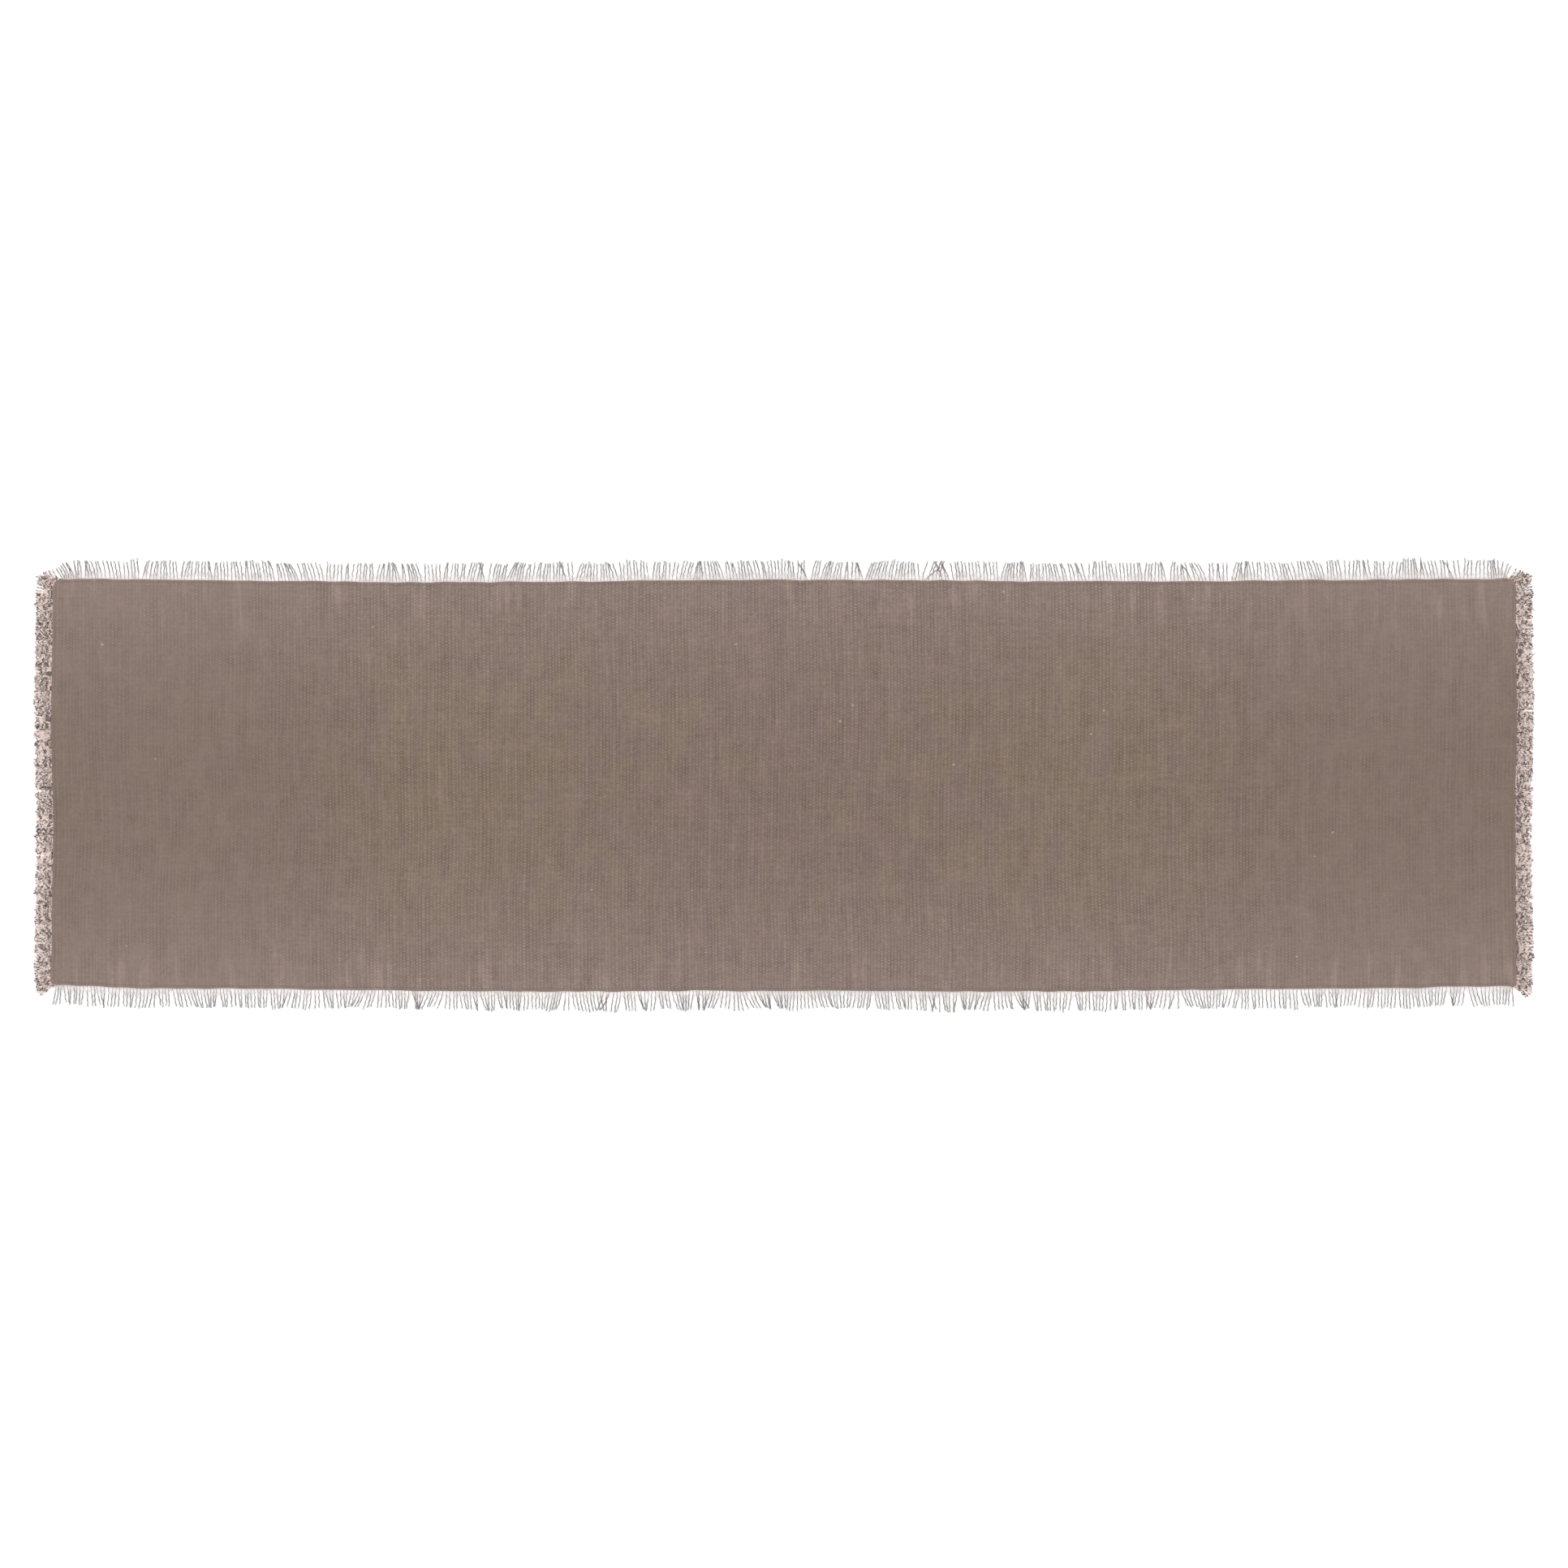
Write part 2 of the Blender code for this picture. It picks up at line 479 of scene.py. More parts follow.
@dataclass(frozen=True)
class ClothFinish:
    """Taupe plain weave: mauve and ochre bands across it, streaky yarns, a few pale specks and painted shade
    in the grooves between the ribs.
    """

    mauve: Colour = (0.181, 0.129, 0.110)
    ochre: Colour = (0.184, 0.135, 0.099)
    end_grey: Colour = (0.166, 0.123, 0.098)
    edge_grey: Colour = (0.222, 0.165, 0.144)
    speck: Colour = (0.55, 0.48, 0.41)
    speck_share: float = 0.42
    speck_lumps: Pair = (0.09, 0.04)  # specks to a yarn, along and across
    speck_size: Pair = (0.012, 0.042)  # where a speck starts to fade and where it has gone
    band_spacing: float = 0.58  # from one mauve band to the next, along the runner
    band_lumps: Pair = (6.0, 2.0)  # lumps to a metre, along and across
    band_strength: float = 0.38
    hue_lumps: Pair = (40.0, 26.0)  # to a metre
    hue_strength: float = 1.9
    groove_shade_lumps: Pair = (60.0, 45.0)  # lumps in the strength of the painted groove shade, to a metre
    blotch_lumps: Pair = (110.0, 90.0)  # to a metre
    slack_lumps: Pair = (110.0, 16.0)  # to a metre
    slack_limits: Pair = (0.15, 0.4)  # the noise that a slack rib begins at and is full at
    slack_zone: Pair = (0.6, 0.95)  # 0 is the middle of the runner, 1 its long edge
    yarn_step: float = 3.7  # keeps the streaks of neighbouring yarns unlike
    half_width: float = 0.16625
    edge_share: float = 0.85
    end_share: float = 0.7
    end_fade: float = 0.08
    weft_streak: float = 0.16
    warp_streak: float = 0.12
    grain_streak: float = 0.20
    blotch: float = 0.09
    slack_edge: float = 0.16  # how much paler the slack ribs near the long edges are
    grain_depth: float = 0.00022
    # painted shade: how much darker the grooves between the ribs are
    groove_shade: float = 0.46
    groove_shade_spread: float = 1.7
    least_groove_shade: float = 0.05
    average_height: float = 0.58
    plain_from: float = 0.30  # the ribs' painted groove shade is weaker from here to the ends
    plain_to: float = 0.48
    plain_share: float = 0.54  # how much less, at the ends
    roughness: float = 0.86
    fibre_lumps: Pair = (9.0, 3.0)  # fibres to a yarn, along and across

    def material(self) -> bpy.types.Material:
        """Builds the material.

        Returns:
            The material, which reads the yarn counts in the mesh's "weave" attribute.
        """
        graph = Graph("woven_cloth")
        x, y, _ = graph.split(graph.place())
        rib, warp, _ = graph.split(graph.attribute("weave"))
        height = self._grain(rib, warp)
        to_end = abs(x).between(self.plain_from, self.plain_to)
        # painted shade: the colour is darker in the grooves between the ribs, its strength varied by noise
        # and weaker towards the ends
        uneven = graph.noise(x, y, 6.0, self.groove_shade_lumps)
        groove_shade_strength = 1.0 - self.plain_share * to_end + self.groove_shade_spread * uneven
        painted_groove_shade = (self.groove_shade * groove_shade_strength).larger(self.least_groove_shade) * (self.average_height - height)
        brightness = self._streaks(graph, x, y, rib, warp) * (1 - painted_groove_shade)
        colour = graph.shade(self._dye(graph, x, y), brightness)
        colour = graph.mix(self._specks(graph, rib, warp), colour, self.speck)
        fibres = graph.noise(rib, warp, 0.0, self.fibre_lumps)
        normal = graph.bump(height + 0.25 * fibres, self.grain_depth)
        roughness = self.roughness + 0.05 * fibres
        fixed = {"Sheen Weight": 0.12, "Sheen Roughness": 0.6, "Specular IOR Level": 0.18}
        return graph.finish({"Base Color": colour, "Roughness": roughness, "Normal": normal}, fixed)

    def _grain(self, rib: Socket, warp: Socket) -> Socket:
        """The height of the weave: each lengthwise yarn goes over one rib and under the next."""
        hump = abs((rib * math.pi).sine())
        round_yarn = 1 - ((warp * 2.0) % 2.0 - 1) ** 2
        is_under = (rib.floor() + warp.floor()) % 2.0
        over = hump ** 0.6 * round_yarn
        under = hump * (0.75 - 0.35 * round_yarn)
        return over * (1 - is_under) + under * is_under

    def _dye(self, graph: Graph, x: Socket, y: Socket) -> Socket:
        """Slow changes of hue: bands across the runner, and paler, greyer long edges."""
        drift = graph.noise(x, y, 3.0, self.band_lumps, 2.0)
        band = (x * (2 * math.pi / self.band_spacing) + drift * 0.9).cosine()
        patchy = graph.noise(x, y, 8.0, self.hue_lumps, 4.0)
        mauve_share = 0.5 + self.band_strength * band + self.hue_strength * patchy
        mauve_share = mauve_share.between(-0.2, 1.2)
        hue = graph.mix(mauve_share, self.ochre, self.mauve)
        at_end = abs(x).between(self.plain_from, self.plain_from + self.end_fade)
        hue = graph.mix(at_end * self.end_share, hue, self.end_grey)
        from_middle = abs(y) * (1 / self.half_width)
        return graph.mix(from_middle ** 2 * self.edge_share, hue, self.edge_grey)

    def _streaks(self, graph: Graph, x: Socket, y: Socket, rib: Socket, warp: Socket) -> Socket:
        """The brightness of each yarn, of each crossing and of soft patches, about 1."""
        own_weft = graph.noise(rib.floor(), y, 1.0, (self.yarn_step, 24.0))
        own_warp = graph.noise(x, warp.floor(), 2.0, (30.0, self.yarn_step))
        crossing = graph.noise(rib, warp, 5.0, (0.9, 0.45), 2.0)
        patch = graph.noise(x, y, 4.0, self.blotch_lumps)
        to_end = abs(x).between(self.plain_from, self.plain_to)
        yarns = self.weft_streak * own_weft + self.warp_streak * own_warp + self.grain_streak * crossing
        slack = graph.noise(x, y, 9.0, self.slack_lumps, 1.0).between(*self.slack_limits)
        near_edge = (abs(y) * (1 / self.half_width)).between(*self.slack_zone)
        return 1 + (1.4 - 0.6 * to_end) * yarns + self.blotch * patch + self.slack_edge * slack * near_edge

    def _specks(self, graph: Graph, rib: Socket, warp: Socket) -> Socket:
        """Where a scrap of pale fibre is caught in the weave."""
        at = graph.join(rib * self.speck_lumps[0], warp * self.speck_lumps[1], 0.0)
        values = {"Vector": at, "Scale": 1.0, "Randomness": 1.0}
        distance = graph.add("ShaderNodeTexVoronoi", {}, values, "Distance")
        return (1 - distance.between(*self.speck_size)) * self.speck_share


@dataclass(frozen=True)
class YarnFinish:
    """Loose twisted yarn, another shade near its root, each yarn a little different."""

    name: str
    dark: Colour
    light: Colour
    root: Colour
    root_share: float = 0.8  # how much of the root's shade there is right at the cloth
    fade_start: float = 0.002
    fade_end: float = 0.011
    difference: float = 0.55  # how much the yarns differ from each other
    mottle_and_highlights: float = 0.4  # how much each one changes along its length: its tone, and on the warp yarns also painted highlights and shade on the crinkles
    lump_length: float = 0.0045
    twist_pitch: float = 0.0011
    # painted highlight and shade along the twist
    twist_shade: float = 0.10
    fuzz_shade: float = 0.08
    twist_depth: float = 0.00012
    roughness: float = 0.85

    def material(self) -> bpy.types.Material:
        """Builds the material.

        Returns:
            The material, which reads the "yarn" attribute of the tubes.
        """
        graph = Graph(self.name)
        distance, own, turn = graph.split(graph.attribute("yarn"))
        lay = (distance * (2 * math.pi / self.twist_pitch) + turn * (2 * math.pi)).sine()
        fuzz = graph.noise(distance, own, turn * 6.0, (3000.0, YARN_APART), 2.0)
        lumps = graph.noise(distance, own, 0.0, (1 / self.lump_length, YARN_APART), 2.0)
        # the lumps along each yarn are partly painted: on the warp yarns their pale and dark parts stand for
        # highlights and shade on the crinkles
        share = (own * self.difference + self.mottle_and_highlights * lumps + 0.5 * (1 - self.difference)).between(0.0, 1.0)
        colour = graph.mix(share, self.dark, self.light)
        near_root = 1 - distance.between(self.fade_start, self.fade_end)
        colour = graph.mix(near_root * self.root_share, colour, self.root)
        # painted highlight and shade: the colour is paler on the crests of the twist and darker between them,
        # with fibre tone from the fuzz
        colour = graph.shade(colour, 1 + self.twist_shade * lay + self.fuzz_shade * fuzz)
        normal = graph.bump(0.5 + 0.35 * lay + 0.25 * fuzz, self.twist_depth)
        fixed = {"Sheen Weight": 0.2, "Sheen Roughness": 0.5, "Specular IOR Level": 0.2}
        roughness = self.roughness + 0.05 * fuzz
        return graph.finish({"Base Color": colour, "Roughness": roughness, "Normal": normal}, fixed)


@dataclass(frozen=True)
class ThreadFinish:
    """Sewing thread in the cloth's colour, smoother than the yarns, with painted highlights on the crests of
    its twist.
    """

    colour: Colour = (0.205, 0.152, 0.127)
    twist_pitch: float = 0.0006
    twist_depth: float = 0.00004
    crest_highlight: float = 1.25  # painted highlight on the crests of the twist, as a share of the colour

    def material(self) -> bpy.types.Material:
        """Builds the material, whose twist follows the thread."""
        graph = Graph("sewing_thread")
        distance, _, turn = graph.split(graph.attribute("yarn"))
        lay = (distance * (2 * math.pi / self.twist_pitch) + turn * (2 * math.pi)).sine()
        # painted highlight: the crests of the twist are paler than the thread's colour
        highlight_colour = tuple(self.crest_highlight * part for part in self.colour)
        base = graph.mix(0.5 + 0.5 * lay, self.colour, highlight_colour)
        varying = {"Base Color": base, "Normal": graph.bump(lay, self.twist_depth)}
        return graph.finish(varying, {"Roughness": 0.5, "Specular IOR Level": 0.4})


# ---- the cloth


@dataclass(frozen=True)
class Outline:
    """The outline of the woven cloth: almost a rectangle, with slightly bowed edges."""

    length: float
    width: float
    back_corner: float = 0.007
    front_corner: float = 0.003
    back_bow: tuple[Pair, ...] = (
        (-0.6, 0.0014), (-0.27, -0.0013), (0.0, 0.0007), (0.27, -0.0006), (0.6, 0.0014),
    )
    front_bow: tuple[Pair, ...] = (
        (-0.6, 0.0038), (-0.5, 0.0012), (-0.2, -0.0013), (0.0, -0.0007), (0.21, -0.0013), (0.4, 0.0006),
        (0.6, 0.0028),
    )
    side_bow: tuple[Pair, ...] = ((-0.17, 0.0006), (-0.04, -0.0008), (0.06, 0.0007), (0.17, -0.0004))
    unevenness: float = 0.0003

    def place(self, x: Array, y: Array) -> tuple[Array, Array]:
        """Where a point of the plain rectangle really lies.

        Args:
            x: place along the rectangle.
            y: place across it.

        Returns:
            The real x and y.
        """
        uneven = Ripple(11, 0.03, self.unevenness)
        to_back = 0.5 + y / self.width
        back = through_points(self.back_bow, x) + uneven.at(x, 1.0)
        front = through_points(self.front_bow, x) + uneven.at(x, 2.0)
        to_right = 0.5 + x / self.length
        sideways = through_points(self.side_bow, y)
        right = sideways + uneven.at(3.0, y)
        left = -sideways + uneven.at(4.0, y)
        real_y = y + back * to_back + front * (1 - to_back)
        real_x = x + right * to_right + left * (1 - to_right)
        return real_x - np.sign(x) * self._corner_cut(x, y), real_y

    def _corner_cut(self, x: Array, y: Array) -> Array:
        """How far a point moves in because of the round corners."""
        radius = np.where(y > 0, self.back_corner, self.front_corner)
        beyond = np.clip(np.abs(y) - (self.width / 2 - radius), 0.0, radius)
        cut = radius - np.sqrt(radius**2 - beyond**2)
        reach = 3 * radius
        share = np.clip((np.abs(x) - (self.length / 2 - reach)) / reach, 0.0, 1.0)
        return cut * share


@dataclass
class GroundCloth:
    """The woven cloth: one sheet with a rib over each crosswise yarn, pressed in by its seams."""

    length: float
    width: float
    thickness: float
    seam_inset: float = 0.002
    rib_pitch: float = 0.0028
    rib_relief: float = 0.00028
    rib_unevenness: float = 0.14  # in width
    rib_size_spread: float = 0.12  # in height
    warp_pitch: float = 0.0012
    edge_thickness: float = 0.0004
    edge_roundness: float = 0.0011
    seam_press: float = 0.00028
    seam_press_width: float = 0.0006
    undulation: float = 0.0010
    phases: tuple[float, ...] = (0.0, 0.25, 0.5, 0.75)
    edge_rows: tuple[float, ...] = (
        0.0, 0.0004, 0.0010, 0.0015, 0.0020, 0.0025, 0.0032, 0.0046, 0.0066, 0.011,
    )
    middle_rows: int = 9

    def __post_init__(self) -> None:
        """Works out the outline and where the ribs are."""
        self.outline = Outline(self.length, self.width)
        self.wander = Ripple(5, 0.16, 0.0006)
        self.swell = Ripple(6, 0.26, 1.0)
        rng = np.random.default_rng(21)
        count = round(self.length / self.rib_pitch)
        widths = 1 + self.rib_unevenness * np.clip(rng.normal(size=count), -2, 2)
        self.rib_widths = widths * self.length / widths.sum()
        self.rib_starts = np.cumsum(self.rib_widths) - self.rib_widths - self.length / 2
        self.rib_sizes = 1 + self.rib_size_spread * np.clip(rng.normal(size=count), -2, 2)

    @property
    def weft_places(self) -> Array:
        """The middle of each crosswise yarn, along the runner."""
        return self.rib_starts + self.rib_widths / 2

    @property
    def warp_places(self) -> Array:
        """The middle of each lengthwise yarn, across the runner."""
        count = round(self.width / self.warp_pitch)
        return (np.arange(count) + 0.5) * self.width / count - self.width / 2

    def middle(self, x: Array, y: Array) -> Array:
        """How high the middle of the cloth lies: it is flat but for a slight swell."""
        swell = np.clip(0.5 + 0.3 * self.swell.at(x, y), 0.0, 1.0)
        return self.thickness / 2 + self.undulation * swell

    def inset(self, x: Array, y: Array) -> Array:
        """How far a point of the plain rectangle is from the nearest edge."""
        return np.minimum(self.length / 2 - np.abs(x), self.width / 2 - np.abs(y))

    def build(self, finish: ClothFinish) -> bpy.types.Object:
        """Makes the cloth.

        Args:
            finish: its material.

        Returns:
            The piece.
        """
        x, rib = self._columns()
        y = self._rows()
        grid_x, grid_y = np.meshgrid(x, y, indexing="ij")
        grid_rib = np.repeat(rib[:, None], len(y), axis=1)
        half = self._half_thickness(grid_x, grid_y, grid_rib)
        flat_x, flat_y = self.outline.place(grid_x, grid_y)
        flat_x = flat_x + self._wander(grid_x, grid_y)
        middle = self.middle(grid_x, grid_y)
        top = np.stack([flat_x, flat_y, middle + half], axis=-1)
        under = np.stack([flat_x, flat_y, np.maximum(middle - half, 0.0)], axis=-1)
        warp = (grid_y + self.width / 2) / self.warp_pitch
        weave = np.stack([grid_rib, warp, np.zeros_like(warp)], axis=-1)
        vertices = np.concatenate([top.reshape(-1, 3), under.reshape(-1, 3)])
        attributes = {"weave": np.concatenate([weave.reshape(-1, 3)] * 2)}
        shape = Shape(vertices, self._faces(len(x), len(y)), attributes)
        piece = shape.piece("woven_ground_cloth", finish.material())
        return take_place(piece, "ground_cloth")

    def _columns(self) -> tuple[Array, Array]:
        """Places along the runner, and the rib count at each."""
        phases = np.array(self.phases)
        x = (self.rib_starts[:, None] + self.rib_widths[:, None] * phases).ravel()
        rib = (np.arange(len(self.rib_starts))[:, None] + phases).ravel()
        return np.append(x, self.length / 2), np.append(rib, len(self.rib_starts))

    def _rows(self) -> Array:
        """Places across the runner, close together near its long edges and seams."""
        insets = np.array(self.edge_rows)
        inner = self.width / 2 - insets[-1]
        middle = np.linspace(-inner, inner, self.middle_rows + 2)[1:-1]
        return np.concatenate([insets - self.width / 2, middle, (self.width / 2 - insets)[::-1]])

    def _wander(self, x: Array, y: Array) -> Array:
        """How far the ribs stray lengthwise, which dies out at the cloth's ends."""
        return self.wander.at(x * 0.25, y) * smooth_step(self.length / 2 - np.abs(x), 0.0, 0.03)

    def _half_thickness(self, x: Array, y: Array, rib: Array) -> Array:
        """Half the cloth's thickness at each point."""
        number = np.minimum(rib.astype(int), len(self.rib_sizes) - 1)
        slub = Ripple(8, 0.05, 0.16).at(number * 0.031, y)
        hump = np.abs(np.sin(math.pi * rib)) ** 0.8
        size = np.minimum(self.rib_sizes[number] + slub, 1.25)
        full = self.thickness / 2 - self.rib_relief * (1 - hump * size)
        inset = self.inset(x, y)
        edge = smooth_step(inset, -0.0002, self.edge_roundness)
        rounded = self.edge_thickness / 2 * (1 - edge) + full * edge
        return rounded - self.seam_press * self._seam_share(x, y)

    def _seam_share(self, x: Array, y: Array) -> Array:
        """1 along the seams, falling to 0 beside them."""
        off_seam = np.abs(self.inset(x, y) - self.seam_inset)
        return 1 - smooth_step(off_seam, 0.0, self.seam_press_width)

    @staticmethod
    def _faces(columns: int, rows: int) -> list[Array]:
        """The faces of a closed sheet between two grids of points."""
        top = np.arange(columns * rows).reshape(columns, rows)
        under = top + columns * rows
        here, ahead = (slice(None, -1), slice(1, None))
        corners = [(here, here), (ahead, here), (ahead, ahead), (here, ahead)]
        upper = np.stack([top[c] for c in corners], axis=-1)
        lower = np.stack([under[c] for c in corners[::-1]], axis=-1)
        faces = [upper.reshape(-1, 4), lower.reshape(-1, 4)]
        rims = ((top[:, 0], under[:, 0]), (top[::-1, -1], under[::-1, -1]))
        rims += ((top[0, ::-1], under[0, ::-1]), (top[-1], under[-1]))
        for above, below in rims:
            faces.append(np.stack([above[:-1], below[:-1], below[1:], above[1:]], axis=-1))
        return faces


# ---- the fringe


@dataclass
class Fringe:
    """Loose yarn ends along one edge, which hang together in uneven tufts."""

    cloth: GroundCloth
    edge: Edge
    seed: int
    reach: float  # how far the yarns stand out from the cloth
    reach_spread: float
    ply_radius: float
    tip_radius: float
    twist_pitch: float
    fray: float  # how much further apart the plies are at the tip
    crimp: float  # how far a yarn strays from side to side
    crimp_length: float
    tuft_sizes: tuple[int, int]
    tuft_lean: float  # radians
    gathering: float  # how much a tuft's tips draw together
    stray_share: float
    corner_splay: tuple[float, float]  # radians, at the two ends of the edge
    corner_zone: float
    tip_height: float
    points: int
    lint_count: int  # fine loose fibres for each yarn
    corner_yarns: int = 0  # how many more yarns each corner has
    corner_rise: float = 1.0  # how far a splayed yarn may go along the edge
    looseness: float = 0.3  # how far each ply strays from its yarn, as a share of the crimp
    togetherness: float = 0.0  # how much of the crimp is the same in a whole tuft
    crimp_start: float = 0.25  # where the crimp is at its full size, as a share of the length
    slow_wave: float = 0.8  # the size of the crimp's slower wave, as a share
    alike: float = 0.0  # the share of a tuft's plies that have the same shades
    slow_lean: float = 0.0  # radians
    long_yarn: float = 0.0  # how far one long yarn at the back corner reaches
    corner_length: float = 1.0  # the yarns' length at the back corners, as a share
    plies: int = 3
    embed: float = 0.0012
    sides: int = 4
    lint_radius: float = 0.00005
    lint_reach: tuple[float, float] = (0.002, 0.009)

    def build(self, node: str, slot: str, material: bpy.types.Material) -> bpy.types.Object:
        """Makes the fringe.

        Args:
            node: the CAD node it stands for.
            slot: the record's material slot; not used.
            material: its finish.

        Returns:
            The piece.
        """
        rng = np.random.default_rng(self.seed)
        centres, reach, tuft = self._yarn_paths(rng)
        paths = self._ply_paths(centres, reach, rng)
        share = np.linspace(0, 1, self.points)
        radius = self.ply_radius + (self.tip_radius - self.ply_radius) * share**2
        radii = radius * rng.uniform(0.85, 1.15, size=(len(paths), 1))
        paths[:, :, 2] = np.maximum(paths[:, :, 2], radii)
        shade = np.tile(rng.random(len(centres))[tuft], self.plies)
        own = np.where(rng.random(len(paths)) < self.alike, shade, rng.random(len(paths)))
        yarns = Tubes(paths, radii, own, self.sides).shape()
        piece = (yarns + self._lint(centres, rng)).piece(f"loose_{node}", material)
        return take_place(piece, node)

    def _roots(self) -> tuple[Array, Array]:
        """Where the yarns leave the cloth: their places along the edge, and their real x and y."""
        if self.edge.is_end:
            spread = self.corner_zone * 0.6 * np.linspace(0.02, 1.0, self.corner_yarns) ** 1.3
            corner = self.cloth.width / 2 - spread
            along = np.sort(np.concatenate([self.cloth.warp_places, corner, -corner]))
            across = np.full_like(along, self.edge.outward[0] * self.cloth.length / 2)
            real = self.cloth.outline.place(across, along)
        else:
            along = self.cloth.weft_places
            across = np.full_like(along, self.edge.outward[1] * self.cloth.width / 2)
            real = self.cloth.outline.place(along, across)
        return along, np.stack(real, axis=-1)

    def _tufts(self, count: int, rng: np.random.Generator) -> Array:
        """Which tuft each yarn belongs to."""
        sizes = rng.integers(*self.tuft_sizes, size=count)
        return np.repeat(np.arange(count), sizes)[:count]

    def _yarn_paths(self, rng: np.random.Generator) -> tuple[Array, Array, Array]:
        """The middle line of every yarn, how far each reaches, and its tuft."""
        along, roots = self._roots()
        count = len(along)
        tuft = self._tufts(count, rng)
        tuft_middle = np.bincount(tuft, along) / np.maximum(np.bincount(tuft), 1)
        lean = self._lean(along, tuft, rng)
        reach = self._reach(along, tuft, rng)
        reach = np.minimum(reach, self.corner_rise / np.maximum(np.sin(np.abs(lean)), 0.001))
        if self.long_yarn:
            last = int(np.argmax(along))
            lean[last], reach[last] = 0.11, self.long_yarn
        tuft_pull = rng.uniform(0.0, 2.0, size=count)[tuft]
        gathering = self.gathering * tuft_pull * rng.uniform(0.7, 1.2, size=count)
        drawn = (tuft_middle[tuft] - along) * np.clip(gathering, 0.0, 0.9)
        share = np.linspace(0, 1, self.points)
        out = -self.embed + (reach * np.cos(lean) + self.embed)[:, None] * share
        sideways = (reach * np.sin(lean) + drawn)[:, None] * share**1.5
        sideways = sideways + self._crimp(reach, share, tuft, rng)
        flat = roots[:, None, :] + sideways[..., None] * self.edge.along + out[..., None] * self.edge.outward
        height = self._height(roots, share, rng)
        return np.concatenate([flat, height[..., None]], axis=-1), reach, tuft

    def _lean(self, along: Array, tuft: Array, rng: np.random.Generator) -> Array:
        """Which way each yarn leans, in radians: with its tuft, and outwards at a corner."""
        count = len(along)
        lean = self.tuft_lean * (rng.normal(size=count)[tuft] + 0.35 * rng.normal(size=count))
        lean = np.where(rng.random(count) < self.stray_share, lean * 3.0, lean)
        half = np.abs(along).max()
        near_corner = np.clip(1 - (half - np.abs(along)) / self.corner_zone, 0.0, 1.0) ** 1.3
        splay = np.where(along > 0, self.corner_splay[1], -self.corner_splay[0])
        slow = self.slow_lean * Ripple(self.seed + 2, 0.06, 1.0).at(along, 0.0)
        return np.clip(lean + slow, -0.9, 0.9) * (1 - 0.4 * near_corner) + splay * near_corner

    def _reach(self, along: Array, tuft: Array, rng: np.random.Generator) -> Array:
        """How long each yarn is: slow changes, a step from tuft to tuft, and its own."""
        slow = Ripple(self.seed + 1, 0.25, 0.4).at(along, 0.0)
        step = rng.normal(size=tuft.max() + 1)[tuft]
        own = rng.normal(size=len(along))
        half = np.abs(along).max()
        shorter = (1 - self.corner_length) * smooth_step(np.abs(along), half - self.corner_zone, half)
        return (self.reach + self.reach_spread * (slow + 0.6 * step + 0.5 * own)) * (1 - shorter)

    def _crimp(self, reach: Array, share: Array, tuft: Array, rng: np.random.Generator) -> Array:
        """The side to side wave that the weave has left in the yarns, partly the same in a whole tuft."""
        own = self._waves(reach, share, rng.uniform(0, 2 * math.pi, size=(2, len(reach))))
        shared = self._waves(reach, share, rng.uniform(0, 2 * math.pi, size=(2, len(reach)))[:, tuft])
        size = self.crimp * rng.uniform(0.6, 1.3, size=(len(reach), 1))
        return size * (own * (1 - self.togetherness) + shared * self.togetherness)

    def _waves(self, reach: Array, share: Array, phases: Array) -> Array:
        """Two waves along each yarn, one of them slow, which set in just outside the cloth."""
        turns = 2 * math.pi * reach[:, None] / self.crimp_length
        quick = np.sin(turns * share + phases[0][:, None])
        slow = np.sin(turns * share * 0.31 + phases[1][:, None])
        return (quick + self.slow_wave * slow) * smooth_step(share, 0.0, self.crimp_start)

    def _height(self, roots: Array, share: Array, rng: np.random.Generator) -> Array:
        """How high the yarns lie: they come out of the cloth's middle and settle on the table."""
        count = len(roots)
        start = self.cloth.middle(roots[:, 0], roots[:, 1])[:, None]
        rest = self.tip_height * rng.uniform(0.3, 1.0, size=(count, 1))
        phase = rng.uniform(0, 2 * math.pi, size=(count, 1))
        ripple = 0.5 * self.crimp * np.sin(2 * math.pi * 3.3 * share + phase)
        settle = smooth_step(share, 0.0, 0.55)
        return start * (1 - settle) + rest * settle + ripple * settle

    def _ply_paths(self, centres: Array, reach: Array, rng: np.random.Generator) -> Array:
        """Paths of the plies, wound round each yarn's middle and opening towards its tip."""
        count = len(centres)
        share = np.linspace(0, 1, self.points)
        start = rng.uniform(0, 2 * math.pi, size=(count, 1))
        wind = start + 2 * math.pi * (reach[:, None] / self.twist_pitch) * share * (1 - 0.35 * share)
        apart = self.ply_radius * (0.9 + self.fray * share**2.5)
        plies = []
        for ply in range(self.plies):
            angle = wind + 2 * math.pi * ply / self.plies
            offset = np.zeros_like(centres)
            offset[..., :2] = (apart * np.cos(angle))[..., None] * self.edge.along
            offset[..., 2] = 0.7 * self.ply_radius * np.sin(angle)
            phases = rng.uniform(0, 2 * math.pi, size=(2, count))
            loose = self.looseness * self.crimp * self._waves(reach, share, phases)
            plies.append(centres + offset + loose[..., None] * np.append(self.edge.along, 0.3))
        return np.concatenate(plies)

